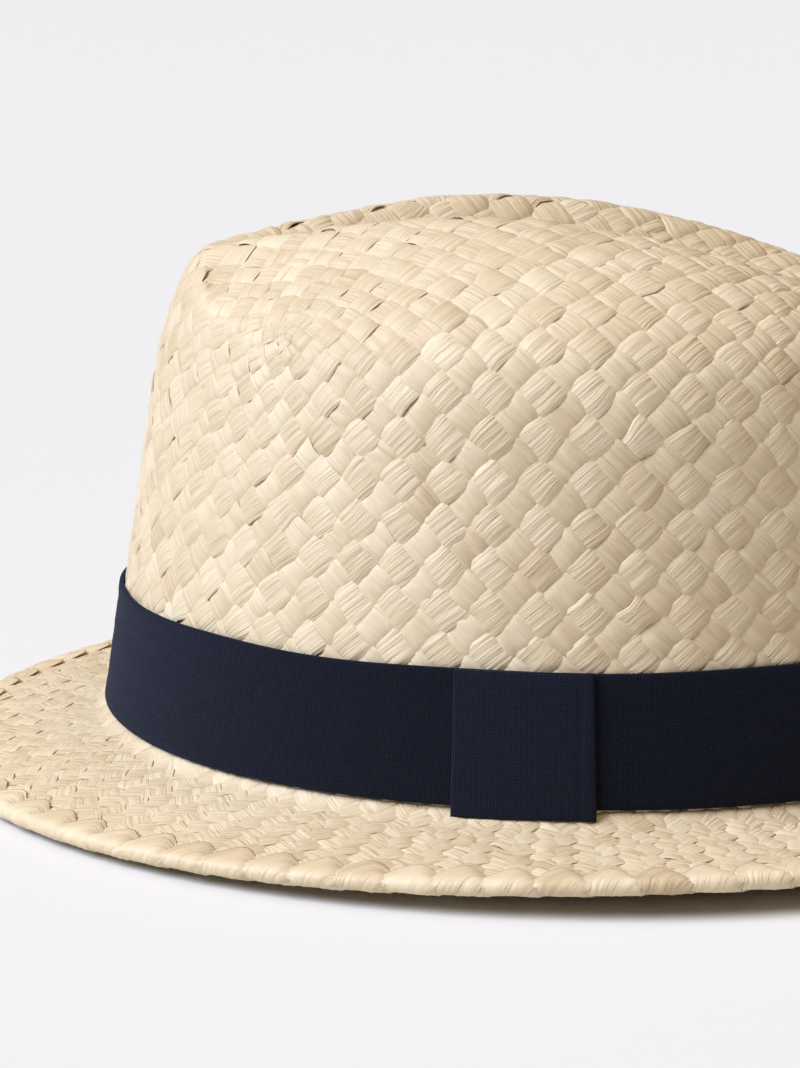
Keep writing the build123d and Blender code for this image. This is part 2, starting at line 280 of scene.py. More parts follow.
def even_angles(marks):
    """Oval angles that share the crown's outline out evenly, by length."""
    a = np.linspace(-math.pi / 4.0, 2.0 * math.pi - math.pi / 4.0, 2881)
    half = CROWN_HALF - 8.0
    run = np.cumsum(np.hypot(half[0] * np.sin(a), half[1] * np.cos(a)))
    run = (run - run[0]) / (run[-1] - run[0])
    return np.interp(marks / CROWN_STRANDS, run, a)


def wall_part(mark, edge, inner, across, along):
    """A strand's crossings down the wall, from the top's edge to the base."""
    # it keeps turning the way it was going when it crossed the edge
    di, dj = edge[0] - inner[0], edge[1] - inner[1]
    if edge[0] == 2 * across:
        way = dj
    elif edge[1] == 2 * along:
        way = -di
    elif edge[0] == 0:
        way = -dj
    else:
        way = di
    total = 2 * CROWN_STRANDS
    return [(m, (mark + way * m) % total) for m in range(WALL_ROWS + 1)]


def settle(points, strands, wall_id, tree):
    """Let the crossings near the top share the room out evenly between them."""
    links = [[] for _ in points]
    for strand, _ in strands:
        for a, b in zip(strand[:-1], strand[1:]):
            links[a].append(b)
            links[b].append(a)
    free = np.ones(len(points))
    for (m, _), k in wall_id.items():
        free[k] = np.clip((SETTLED_ROWS[0] - m) / SETTLED_ROWS[1], 0.0, 1.0)
    for k, link in enumerate(links):
        if len(link) != 4:
            free[k] = 0.0
            links[k] = (link * 4)[:4] if link else [k] * 4
    links = np.array(links)
    moving = np.nonzero(free > 0.0)[0]
    for step in range(200):
        pull = points[links[moving]].mean(1) - points[moving]
        points[moving] += 0.6 * pull * free[moving, None]
        if step % 4 == 3:
            points[moving] = on_surface(tree, points[moving])[0]
    return points


# ============================ strands ============================
def smooth_line(knots, steps):
    """Catmull-Rom line through knots, with the knot number at each sample."""
    padded = np.concatenate([[2 * knots[0] - knots[1]], knots, [2 * knots[-1] - knots[-2]]])
    out, places = [], []
    for k in range(len(knots) - 1):
        p0, p1, p2, p3 = padded[k:k + 4]
        for s in range(steps):
            t = s / steps
            out.append(0.5 * (2 * p1 + (p2 - p0) * t + (2 * p0 - 5 * p1 + 4 * p2 - p3) * t * t
                              + (3 * p1 - p0 - 3 * p2 + p3) * t ** 3))
            places.append(k + t)
    out.append(knots[-1])
    places.append(len(knots) - 1.0)
    return np.array(out), np.array(places)


def unit(v):
    return v / np.maximum(np.linalg.norm(v, axis=-1, keepdims=True), 1e-9)


def blur(values, times):
    """Average each row with its neighbours."""
    out = values.copy()
    for _ in range(times):
        out[1:-1] = 0.25 * out[:-2] + 0.5 * out[1:-1] + 0.25 * out[2:]
    return out


def write_piece(name, verts, faces, uvs=None, tints=None):
    """A smooth piece from places, faces and flat places in millimetres, and tints."""
    mesh = bpy.data.meshes.new(name)
    mesh.from_pydata((verts * MM).tolist(), [], faces)
    if uvs is not None:
        corners = np.empty(len(mesh.loops), dtype=np.int32)
        mesh.loops.foreach_get("vertex_index", corners)
        layer = mesh.uv_layers.new(name="UVMap")
        layer.data.foreach_set("uv", (uvs * MM)[corners].ravel())
    if tints is not None:
        tint = mesh.attributes.new("tint", "FLOAT", "POINT")
        tint.data.foreach_set("value", tints)
    mesh.polygons.foreach_set("use_smooth", [True] * len(mesh.polygons))
    mesh.update()
    piece = bpy.data.objects.new(name, mesh)
    bpy.context.scene.collection.objects.link(piece)
    return piece


class Strands:
    """Collects ribbons of flat paper straw and writes them as one mesh."""

    ACROSS = np.array([-1.0, -0.95, -0.78, -0.6, -0.4, -0.2, 0.0, 0.2, 0.4, 0.6, 0.78, 0.95, 1.0])
    UNDER = np.array([0.9, 0.0, -0.9])

    def __init__(self, seed):
        self.verts, self.faces, self.uvs, self.tints = [], [], [], []
        self.ends = []
        self.count = 0
        self.rng = np.random.default_rng(seed)

    def add(self, centre, normal, half, lift, bend, tilt, puff, crumple):
        """One ribbon along centre, half wide, lifted along the normal.

        bend gives the places and normals at distances to each side of the centre line. puff is
        how far the ribbon's middle stands up and crumple is the size of its lengthwise folds.
        """
        rng = self.rng
        rows = len(centre)
        tangent = unit(np.gradient(centre, axis=0))
        normal = unit(normal - (normal * tangent).sum(1, keepdims=True) * tangent)
        side = np.cross(normal, tangent)
        run = np.concatenate([[0.0], np.cumsum(np.linalg.norm(np.diff(centre, axis=0), axis=1))])
        # the paper's own folds: lengthwise waves that wander along the strand
        v = self.ACROSS[None, :]
        folds = np.zeros((rows, len(self.ACROSS)))
        for _ in range(FOLDS):
            pitch = rng.uniform(2.0, 7.5)
            drift = rng.uniform(0.0, 6.3) + np.cumsum(rng.normal(0.0, 0.25, rows))[:, None]
            strength = np.clip(0.8 + blur(rng.normal(0.0, 2.4, rows), 5), 0.0, 2.4)[:, None]
            wave = np.abs(np.sin(pitch * v / 2.0 + drift)) ** FOLD_SHARPNESS
            folds += crumple * strength * (1.0 - 2.0 * wave)
        belly = puff * (1.0 - np.abs(v) ** 4.0)
        # where it lies on top, a ribbon's edges are drawn down onto the one below
        drawn = EDGE_DRAWN * np.clip(lift / WEAVE_RISE, 0.0, 1.0)[:, None]
        rise = lift[:, None] + belly + folds * (1.0 - 0.4 * np.abs(v)) - drawn * np.abs(v) ** 5.0
        twist = blur(rng.normal(0.0, TWIST, rows), 5)
        tilt = twist if tilt is None else tilt + 0.3 * twist
        rise = rise + tilt[:, None] * v
        wander = blur(rng.normal(0.0, WANDER, rows), 6)[:, None]
        base, out = bend(centre, normal, side, v * half[:, None] + wander)
        upper = base + out * (rise + STRAND_THICK / 2.0)[..., None]
        w = self.UNDER[None, :]
        spots = [11, 6, 1]            # the upper points that the lower ones lie under
        fall = lift[:, None] - STRAND_THICK / 2.0 + 0.1 * (1.0 - np.abs(w)) + tilt[:, None] * w
        fall = fall - drawn * np.abs(w)
        lower = base[:, spots] + out[:, spots] * fall[..., None]
        ring = np.concatenate([upper, lower], 1)
        size = ring.shape[1]
        first = self.count
        self.verts.append(ring.reshape(-1, 3))
        r = np.arange(rows - 1)[:, None] * size
        c = np.arange(size)[None, :]
        d = (c + 1) % size
        quads = np.stack([r + c, r + d, r + size + d, r + size + c], -1).reshape(-1, 4) + first
        self.faces.append(quads)
        across = np.concatenate([(self.ACROSS + 1.0) / 2.0, (self.UNDER + 1.0) / 2.0])
        shift = rng.uniform(0.0, 40.0)
        u = np.broadcast_to(across * 2.0 * float(half.mean()) + shift, (rows, size))
        along = np.broadcast_to((run + shift * 7.0)[:, None], (rows, size))
        self.uvs.append(np.stack([u, along], -1).reshape(-1, 2))
        shade = rng.normal(0.0, 0.5) + blur(rng.normal(0.0, 1.0, rows), 8) * 1.1
        self.tints.append(np.repeat(np.clip(0.5 + 0.22 * shade, 0.0, 1.0), size))
        self.count += rows * size
        # close both ends
        for start in (first, first + (rows - 1) * size):
            top = [start + k for k in range(len(self.ACROSS))]
            low = [start + len(self.ACROSS) + k for k in range(len(self.UNDER))]
            loop = top + low
            if start == first:
                loop = loop[::-1]
            self.ends.append(loop)

    def write(self, name):
        faces = np.concatenate(self.faces).tolist() + self.ends
        return write_piece(name, np.concatenate(self.verts), faces,
                           np.concatenate(self.uvs), np.concatenate(self.tints))


def weave_wave(places, first_over):
    """Rise and dive of a strand: over at one crossing, under at the next."""
    wave = np.cos(math.pi * places) * (1.0 if first_over else -1.0)
    return WEAVE_RISE * np.tanh(CROSSING * wave) / math.tanh(CROSSING)


def pinches(rng, places):
    """Here and there a strand is folded narrow for the length of a crossing."""
    narrow = np.ones(len(places))
    for spot in np.arange(1.0, places[-1]):
        if rng.random() < PINCH_CHANCE:
            size = rng.uniform(0.15, 0.38)
            off = (places - spot - rng.uniform(-0.5, 0.5)) / 0.42
            narrow -= size * np.exp(-off ** 2)
    return np.maximum(narrow, 0.5)


def crown_bend(tree):
    """Lays a ribbon's width on the crown's surface."""
    def bend(centre, normal, side, across):
        wide = centre[:, None] + side[:, None] * across[..., None] - normal[:, None] * STRAW_MID
        place, out = on_surface(tree, wide.reshape(-1, 3))
        out = out.reshape(wide.shape)
        for k in range(out.shape[1]):
            out[:, k] = blur(out[:, k], 2)
        out = unit(out + normal[:, None])
        return place.reshape(wide.shape) + out * STRAW_MID, out
    return bend


def crown_pieces():
    tree = crown_tree()
    bend = crown_bend(tree)
    points, strands, wall_id = crown_net()
    points = settle(points, strands, wall_id, tree)
    # room each strand has at each crossing, from the strand that crosses it
    met = [[] for _ in points]
    for number, (strand, _) in enumerate(strands):
        for k, vertex in enumerate(strand):
            met[vertex].append((number, k))
    groups = []
    for number, (strand, a) in enumerate(strands):
        if number % STRANDS_A_PIECE == 0:
            collector = Strands(SEED + number)
            groups.append(collector)
        knots = points[strand]
        tangent = unit(np.gradient(knots, axis=0))
        room = np.full(len(strand), np.nan)
        for k, vertex in enumerate(strand):
            for other, place in met[vertex]:
                if other == number:
                    continue
                line = strands[other][0]
                if 0 < place < len(line) - 1:
                    gap = (points[line[place + 1]] - points[line[place - 1]]) / 2.0
                    gap = gap - gap.dot(tangent[k]) * tangent[k]
                    room[k] = np.linalg.norm(gap)
        known = ~np.isnan(room)
        room = np.interp(np.arange(len(room)), np.nonzero(known)[0], room[known])
        line, places = smooth_line(knots, SAMPLES)
        place, normal = on_surface(tree, line)
        normal = unit(blur(normal, 3))
        # at the top's edge a strand whose marks go up is over its crossing
        top_mark, next_mark = a[0][1], a[1][1]
        slants_up = (next_mark - top_mark) % (2 * CROWN_STRANDS) == 1
        first_over = slants_up if (len(a) - 1) % 2 == 0 else not slants_up
        lift = weave_wave(places, first_over) * collector.rng.uniform(0.92, 1.12)
        half = 0.5 * np.interp(places, np.arange(len(room)), room)
        wide = blur(collector.rng.normal(1.0, 0.14, len(half)), 5)
        wide = wide * pinches(collector.rng, places)
        bulge = 1.0 + 0.03 * lift / WEAVE_RISE
        # one family is looser and smoother than the other
        fullness, puff, crumple = LOOSE if slants_up else TAUT
        half = half * wide * bulge * fullness
        collector.add(place + normal * STRAW_MID, normal, half, lift, bend, None, puff, crumple)
    return [group.write("crown_weave_%d" % (k + 1)) for k, group in enumerate(groups)]


# ============================ the brim's weave ============================
RIM_RADIUS = 1.30             # the fold round the brim's edge
BRIM_ROWS = 12                # crossings of a strand from the crown to the edge
BRIM_FLATTER = 0.55           # the brim is pressed flatter than the crown
RIM_ROW = 2.45                # run of a folded strand for each further place round the edge
RIM_SLANT = 0.12              # how much a folded strand still slants
RIM_SCALE = 0.70              # half width of a scale, as a share of the strands' spacing
RIM_EDGE = 0.9                # the fold starts this far inside the edge, past its radius
RIM_EXTRA_ROWS = 5            # places of a folded strand beyond the edge
RIM_LIFT, RIM_TILT = 0.22, 0.24           # how a scale stands up, and leans over the next
BRIM_SINK = 0.25              # the weave lies this far above the brim's mid-thickness
BRIM_LOOSE = (1.26, 0.10, 0.045)          # fullness, puff and fold size of the brim's strands
BRIM_SAMPLES = 6              # points along a strand for each crossing of the brim
UPTURN, UPTURN_WIDTH = 1.7, 3.6           # the brim rises to meet the ribbon's lower edge


def brim_mid(angle, place):
    """Mid-thickness of the brim; place is 0 at the crown and 1 at the outer edge."""
    half_x = CROWN_HALF[0] + place * (BRIM_HALF[0] - CROWN_HALF[0])
    half_y = CROWN_HALF[1] + place * (BRIM_HALF[1] - CROWN_HALF[1])
    about = np.arctan2(np.sin(angle), np.abs(np.cos(angle)))
    lift = BRIM_LIFT * np.cos(about - CURL_BACK) ** 4 * np.maximum(place, 0.0) ** 2
    droop = BRIM_DIP * np.sin(angle) ** 2 * np.maximum(place, 0.0) ** 2
    z = BRIM_IN_Z + (BRIM_OUT_Z - BRIM_IN_Z) * place + lift - droop
    return np.stack([half_x * np.cos(angle), half_y * np.sin(angle), z], -1)


def brim_angle(mark):
    """Oval angle of a mark, a share of one turn, even along the brim's outline."""
    a = np.linspace(0.0, 2.0 * math.pi, 2881)
    half = (CROWN_HALF + BRIM_HALF) / 2.0
    run = np.cumsum(np.hypot(half[0] * np.sin(a), half[1] * np.cos(a)))
    run = (run - run[0]) / (run[-1] - run[0])
    whole = np.floor(mark)
    return np.interp(mark - whole, run, a) + whole * 2.0 * math.pi


def brim_point(mark, reach, edge_at):
    """A place on the brim, and the way out of it. reach runs outwards in millimetres from the
    crown, on round the edge and back underneath."""
    angle = brim_angle(mark)
    inner, outer = brim_mid(angle, 0.0 * angle), brim_mid(angle, 0.0 * angle + 1.0)
    width = np.linalg.norm((outer - inner)[:, :2], axis=1)
    flat_run = width - edge_at
    flat = np.minimum(reach, flat_run)
    place = flat / width
    base = brim_mid(angle, place)
    ahead, behind = brim_mid(angle, place + 0.01), brim_mid(angle, place - 0.01)
    out = unit(ahead - behind)
    turn_to = brim_mid(angle + 0.004, place)
    around = unit(turn_to - brim_mid(angle - 0.004, place))
    up = np.cross(out, around)
    up = unit(up * np.sign(up[:, 2:3]))
    over = np.clip((reach - flat_run) / RIM_RADIUS, 0.0, math.pi)[:, None]
    back = np.maximum(reach - flat_run - math.pi * RIM_RADIUS, 0.0)[:, None]
    normal = up * np.cos(over) + out * np.sin(over)
    centre = base + normal * RIM_RADIUS - out * back
    centre[:, 2] += UPTURN * np.clip(1.0 - reach / UPTURN_WIDTH, 0.0, 1.0) ** 2
    return centre, unit(normal)


def brim_pieces():
    """Two slanting families over the brim. One folds round the edge as a row of scales."""
    groups = []
    steps = BRIM_SAMPLES
    fullness, puff, crumple = BRIM_LOOSE
    for family in (1, -1):
        for number in range(BRIM_STRANDS):
            if number % (BRIM_STRANDS // 2) == 0:
                collector = Strands(SEED + 100 + number + family)
                groups.append(collector)
            rng = collector.rng
            folds = family == -1
            rows = BRIM_ROWS + (RIM_EXTRA_ROWS if folds else 0)
            places = np.arange(-1.0 * steps, rows * steps + 1) / steps
            beyond = np.maximum(places - BRIM_ROWS - 0.3, 0.0)
            # over the edge a strand turns outwards, so that it wraps it in one wide scale
            swing = places - (1.0 - RIM_SLANT) * beyond * beyond / (beyond + 0.5)
            mark = (number + 0.5 * swing * family) / BRIM_STRANDS
            angle = brim_angle(mark)
            level = 0.0 * angle
            inner, outer = brim_mid(angle, level), brim_mid(angle, level + 1.0)
            width = np.linalg.norm((outer - inner)[:, :2], axis=1)
            edge_at = RIM_RADIUS + RIM_EDGE
            row = (width - edge_at) / BRIM_ROWS
            past = np.maximum(places - BRIM_ROWS, 0.0)
            reach = np.minimum(places, BRIM_ROWS) * row + past * RIM_ROW
            centre, normal = brim_point(mark, reach, edge_at)
            share = np.clip(places / BRIM_ROWS, -1.0, 1.0)
            nudge = 0.01
            apart = brim_mid(angle + nudge, share) - brim_mid(angle - nudge, share)
            around = np.linalg.norm(apart, axis=1) / (2.0 * nudge)
            steady = (number + 0.5 * places * family) / BRIM_STRANDS
            turn = np.gradient(brim_angle(steady), places * 0.5 * family)
            pitch = around * turn
            half = 0.5 * pitch * row * 2.0 / np.hypot(pitch, row * 2.0)

            def bend(centre, normal, side, across, mark=mark, reach=reach, pitch=pitch,
                     edge_at=edge_at):
                """Lays a ribbon's width on the brim and round its edge."""
                ahead = np.gradient(reach)
                along = np.gradient(mark) * pitch * BRIM_STRANDS
                size = np.hypot(ahead, along)
                wide_mark = mark[:, None] + across * (ahead / size / pitch / BRIM_STRANDS)[:, None]
                wide_reach = reach[:, None] - across * (along / size)[:, None]
                edges = np.broadcast_to(edge_at, reach.shape)[:, None] + 0.0 * across
                place, out = brim_point(wide_mark.ravel(), wide_reach.ravel(), edges.ravel())
                return place.reshape(across.shape + (3,)), out.reshape(across.shape + (3,))

            on_rim = np.clip((places - BRIM_ROWS + 0.5) / 0.9, 0.0, 1.0)
            on_rim = on_rim * on_rim * (3.0 - 2.0 * on_rim)
            lift = weave_wave(places, family == 1) * BRIM_FLATTER
            if folds:
                half = half * (1.0 - on_rim) + RIM_SCALE * pitch * on_rim
                lift = lift * (1.0 - on_rim) + RIM_LIFT * on_rim
                lift = lift - (RIM_RADIUS - BRIM_SINK) * (1.0 - on_rim)
                tilt = RIM_TILT * on_rim
            else:
                lift = lift - (RIM_RADIUS - BRIM_SINK)
                tilt = None
            wide = blur(rng.normal(1.0, 0.10, len(half)), 5)
            wide = wide * np.where(places < BRIM_ROWS - 1.0, pinches(rng, places), 1.0)
            collector.add(centre, normal, half * wide * fullness, lift, bend, tilt, puff, crumple)
    return [group.write("brim_weave_%d" % (k + 1)) for k, group in enumerate(groups)]


# ============================ cloth and thread ============================
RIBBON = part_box("hat_band")               # lowest and highest corners, in metres
RIBBON_LOW, RIBBON_HIGH = RIBBON[0][2] / MM, RIBBON[1][2] / MM
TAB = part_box("band_tab")
TAB_LOW, TAB_HIGH = TAB[0][2] / MM, TAB[1][2] / MM
TAB_FRONT, TAB_BACK = TAB[0][1] / MM, TAB[1][1] / MM
TAB_HALF = 13.0               # half width of the bow's cloth
TAB_IN, TAB_OUT = 0.98, 1.55  # its faces, outside the crown's
TAB_THICKENING = 0.62         # it stands out this much more at its back edge
TAB_LEAN = 0.25               # the bow's sides lean by this much up their height
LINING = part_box("sweatband")
LINING_LOW, LINING_HIGH = LINING[0][2] / MM, LINING[1][2] / MM
LINING_INSET = 3.75           # outer face of the sweatband inside the crown's surface
LINING_THICK = 0.8
HEAD_RADIUS = 92.0            # mean radius of the head line, for turning lengths into angles


def wall_place(angle, z, out):
    """A place near the foot of the crown, a distance out from its surface."""
    inset = WALL_LEAN * (z - HEAD_Z) - out
    x, y = (CROWN_HALF[0] - inset) * np.cos(angle), (CROWN_HALF[1] - inset) * np.sin(angle)
    return np.stack([x, y, z], -1)


def loop_mesh(name, loops, uvs, closed=True, caps=False):
    """Mesh from rows of closed loops of points, joined row to row."""
    rows, size = loops.shape[:2]
    faces = []
    for r in range(rows if closed else rows - 1):
        q = (r + 1) % rows
        for c in range(size):
            d = (c + 1) % size
            faces.append((r * size + c, q * size + c, q * size + d, r * size + d))
    if caps:
        faces.append(tuple(range(size)))
        faces.append(tuple((rows - 1) * size + c for c in reversed(range(size))))
    return write_piece(name, loops.reshape(-1, 3), faces, uvs.reshape(-1, 2))


def ripple(angle, seed, waves, size):
    """A smooth wander round the hat, made of a few seeded waves."""
    rng = np.random.default_rng(seed)
    out = np.zeros_like(angle)
    for k in waves:
        height = rng.normal(0.0, 1.0)
        start = rng.uniform(0.0, 6.3)
        out = out + height * np.cos(k * angle + start) / math.sqrt(len(waves))
    return out * size


def strip_profile(low, high, inner, outer, edge, steps):
    """Cross-section of a flat strip with turned, rounded edges: (out, height) pairs."""
    points = []
    middle, half = (inner + outer) / 2.0, (outer - inner) / 2.0
    for k in range(steps + 1):
        z = low + edge + (high - low - 2.0 * edge) * k / steps
        points.append((outer, z))
    for k in range(1, 6):
        a = math.pi * k / 6.0
        points.append((middle + half * math.cos(a), high - edge + edge * math.sin(a)))
    for k in range(steps // 2 + 1):
        z = high - edge - (high - low - 2.0 * edge) * k / (steps // 2)
        points.append((inner, z))
    for k in range(1, 6):
        a = math.pi + math.pi * k / 6.0
        points.append((middle + half * math.cos(a), low + edge + edge * math.sin(a)))
    return np.array(points)


def oval_run(angles):
    """Distance round the head line at each angle."""
    a = np.linspace(angles.min(), angles.max(), 4000)
    legs = np.diff(wall_place(a, HEAD_Z + 0 * a, 0.0), axis=0)[:, :2]
    run = np.concatenate([[0.0], np.cumsum(np.hypot(*legs.T))])
    return np.interp(angles, a, run)


def ring_strip(name, angles, profile, wander, lift, closed=True, caps=False):
    """A strip round the foot of the crown. wander moves it out, lift moves its edges."""
    run = oval_run(angles)
    low, high = profile[:, 1].min(), profile[:, 1].max()
    share = (profile[:, 1] - low) / (high - low)
    around = np.concatenate([[0.0], np.cumsum(np.hypot(*np.diff(profile, axis=0).T))])
    loops = np.empty((len(angles), len(profile), 3))
    uvs = np.empty((len(angles), len(profile), 2))
    for k, (out, z) in enumerate(profile):
        height = z + lift[0] * (1.0 - share[k]) + lift[1] * share[k]
        loops[:, k] = wall_place(angles, height, out + wander(angles, share[k]))
        uvs[:, k, 0], uvs[:, k, 1] = run, around[k]
    return loop_mesh(name, loops, uvs, closed, caps)


def make_hat_band():
    angles = np.linspace(0.0, 2.0 * math.pi, 900, endpoint=False)
    inner, outer, edge = 0.06, 0.95, 0.42         # faces outside the crown's, and edge radius
    profile = strip_profile(RIBBON_LOW, RIBBON_HIGH, inner, outer, edge, 14)

    def wander(a, share):
        low_hem = 0.10 * math.exp(-((share - 0.05) / 0.05) ** 2)
        high_hem = 0.10 * math.exp(-((share - 0.95) / 0.05) ** 2)
        edge = max(0.0, 2.0 * abs(share - 0.5) - 0.75) * 4.0
        return (ripple(a, 3, range(3, 11), 0.10) + ripple(a + 2.2 * share, 4, range(9, 26), 0.05)
                + (low_hem + high_hem) + edge * np.maximum(ripple(a, 5, range(5, 17), 0.16), -0.05))

    lift = (ripple(angles, 6, range(2, 9), 0.16), ripple(angles, 7, range(2, 12), 0.2))
    return ring_strip("ribbon", angles, profile, wander, lift)


def make_band_tab():
    """The flat bow: a cloth slab on the ribbon's face with rounded edges, thin at the front edge,
    thick at the back.
    """
    rows, steps = 60, 52
    low, high = TAB_LOW, TAB_HIGH
    v = np.linspace(-1.0, 1.0, rows)
    v = np.sign(v) * (1.0 - (1.0 - np.abs(v)) ** 1.6)
    front = math.asin(TAB_FRONT / CROWN_HALF[1])
    back = math.asin(TAB_BACK / CROWN_HALF[1])
    loops, uvs = np.empty((rows, 2 * steps, 3)), np.empty((rows, 2 * steps, 2))
    s = np.linspace(-1.0, 1.0, steps)
    s = np.sign(s) * (1.0 - (1.0 - np.abs(s)) ** 1.8)
    for r in range(rows):
        z = (low + high) / 2.0 + (high - low) / 2.0 * v[r]
        round_z = (1.0 - abs(v[r]) ** 26) ** 0.5
        inner = TAB_IN + 0.0 * s
        slope = TAB_OUT + TAB_THICKENING * (s + 1.0) / 2.0
        puff = 0.10 * (1.0 - s ** 2) * (1.0 - v[r] ** 2)
        crease = -0.12 * np.exp(-((s - 0.80 - 0.03 * v[r]) / 0.05) ** 2)
        round_s = (1.0 - np.abs(s) ** 40) ** 0.5
        middle = (inner + slope) / 2.0
        outer = middle + (slope + puff + crease - middle) * round_s * round_z
        inner = middle - (middle - inner) * round_s * round_z
        lean = TAB_LEAN * v[r] / TAB_HALF
        angle = (front + back) / 2.0 + (back - front) / 2.0 * (s - lean)
        height = z + 0.12 * np.sin(2.2 * s + 0.6) * (1.0 if v[r] < 0 else 0.6) * abs(v[r]) ** 4
        loops[r, :steps] = wall_place(angle, height, outer)
        loops[r, steps:] = wall_place(angle[::-1], height[::-1], inner[::-1])
        uvs[r, :steps, 0] = TAB_HALF * s
        uvs[r, steps:, 0] = TAB_HALF * s[::-1] + 40.0
        uvs[r, :, 1] = z
    return loop_mesh("bow_tab", loops, uvs, closed=False, caps=True)


def make_sweatband():
    gap = math.asin(0.75 / CROWN_HALF[0])
    angles = np.linspace(math.pi / 2.0 + gap, 2.5 * math.pi - gap, 600)
    out, inn = -LINING_INSET, -LINING_INSET - LINING_THICK
    profile = strip_profile(LINING_LOW, LINING_HIGH, inn, out, 0.35, 16)[::-1]

    def wander(a, share):
        stand = 0.35 * share ** 2
        loose = 1.0 + 0.6 * ripple(a, 11, range(3, 14), 1.0)
        return -stand * loose + ripple(a, 12, range(2, 8), 0.08)

    lift = (0.0 * angles, ripple(angles, 13, range(2, 10), 0.25))
    return ring_strip("lining_band", angles, profile, wander, lift, closed=False, caps=True)


def patch(name, angle, width, low, high, inset, thick, curl):
    """A flat cloth patch on the inside of the sweatband, with rounded edges."""
    half = width / 2.0 / (CROWN_HALF[0] + 5.0)
    angles = angle + half * np.linspace(-1.0, 1.0, 40)
    profile = strip_profile(low, high, -inset - thick, -inset, min(0.2, thick / 2.0), 14)[::-1]

    def wander(a, share):
        return -curl * (1.0 - share) ** 2 * (0.5 + 0.5 * np.cos(9.0 * (a - angle)))

    lift = (0.15 * np.sin(14.0 * (angles - angle)), 0.0 * angles)
    return ring_strip(name, angles, profile, wander, lift, closed=False, caps=True)


def thread_row(name, angles, z, out, length, thick, seed):
    """Short stitches lying on a surface near the foot of the crown, as one piece."""
    rng = np.random.default_rng(seed)
    verts, faces = [], []
    rings, sides = 9, 10
    for angle in angles:
        half = length / 2.0 / HEAD_RADIUS * rng.uniform(0.92, 1.05)
        slip, drop = rng.normal(0.0, 0.0015), rng.normal(0.0, 0.12)
        t = np.linspace(-1.0, 1.0, rings)
        turn = angle + slip + half * t
        arch = thick * 0.55 * (1.0 - t ** 2) - thick * 0.25
        centre = wall_place(turn, z + drop + 0.10 * t, out - arch)
        size = thick / 2.0 * np.sqrt(np.maximum(1.0 - t ** 6, 0.02))
        along = unit(np.gradient(centre, axis=0))
        up = np.array([0.0, 0.0, 1.0])
        side = unit(np.cross(along, up))
        rise = np.cross(side, along)
        base = len(verts)
        for r in range(rings):
            for c in range(sides):
                a = 2.0 * math.pi * c / sides
                verts.append(centre[r] + size[r] * (side[r] * math.cos(a) + rise[r] * math.sin(a)))
        for r in range(rings - 1):
            for c in range(sides):
                d = (c + 1) % sides
                faces.append((base + r * sides + c, base + r * sides + d,
                              base + (r + 1) * sides + d, base + (r + 1) * sides + c))
        faces.append(tuple(base + c for c in reversed(range(sides))))
        faces.append(tuple(base + (rings - 1) * sides + c for c in range(sides)))
    return write_piece(name, np.array(verts), faces)


# ============================ materials ============================
class Nodes:
    """A material's node tree, with short calls to add nodes and links."""

    def __init__(self, name):
        self.material = bpy.data.materials.new(name)
        self.material.use_nodes = True
        self.tree = self.material.node_tree
        self.shader = self.tree.nodes["Principled BSDF"]

    def add(self, kind, **values):
        node = self.tree.nodes.new(kind)
        for key, value in values.items():
            if hasattr(node, key):
                setattr(node, key, value)
            else:
                node.inputs[key].default_value = value
        return node

    def link(self, a, b):
        self.tree.links.new(a, b)

    def math(self, how, a, b):
        node = self.add("ShaderNodeMath", operation=how)
        for slot, value in enumerate((a, b)):
            if isinstance(value, (int, float)):
                node.inputs[slot].default_value = value
            else:
                self.link(value, node.inputs[slot])
        return node.outputs[0]

    def scaled(self, source, x, y, z=1.0):
        node = self.add("ShaderNodeMapping")
        node.inputs["Scale"].default_value = (x, y, z)
        self.link(source, node.inputs["Vector"])
        return node.outputs["Vector"]

    def noise(self, vector, scale, detail=2.0, rough=0.5):
        node = self.add("ShaderNodeTexNoise")
        node.inputs["Scale"].default_value = scale
        node.inputs["Detail"].default_value = detail
        node.inputs["Roughness"].default_value = rough
        self.link(vector, node.inputs["Vector"])
        return node.outputs["Fac"]

    def ramp(self, value, stops):
        node = self.add("ShaderNodeValToRGB")
        ramp = node.color_ramp
        while len(ramp.elements) < len(stops):
            ramp.elements.new(0.5)
        for element, (place, colour) in zip(ramp.elements, stops):
            element.position = place
            element.color = colour
        self.link(value, node.inputs["Fac"])
        return node.outputs["Color"]

    def bump(self, height, distance, strength, under=None):
        node = self.add("ShaderNodeBump")
        node.inputs["Distance"].default_value = distance
        node.inputs["Strength"].default_value = strength
        self.link(height, node.inputs["Height"])
        if under is not None:
            self.link(under, node.inputs["Normal"])
        return node.outputs["Normal"]


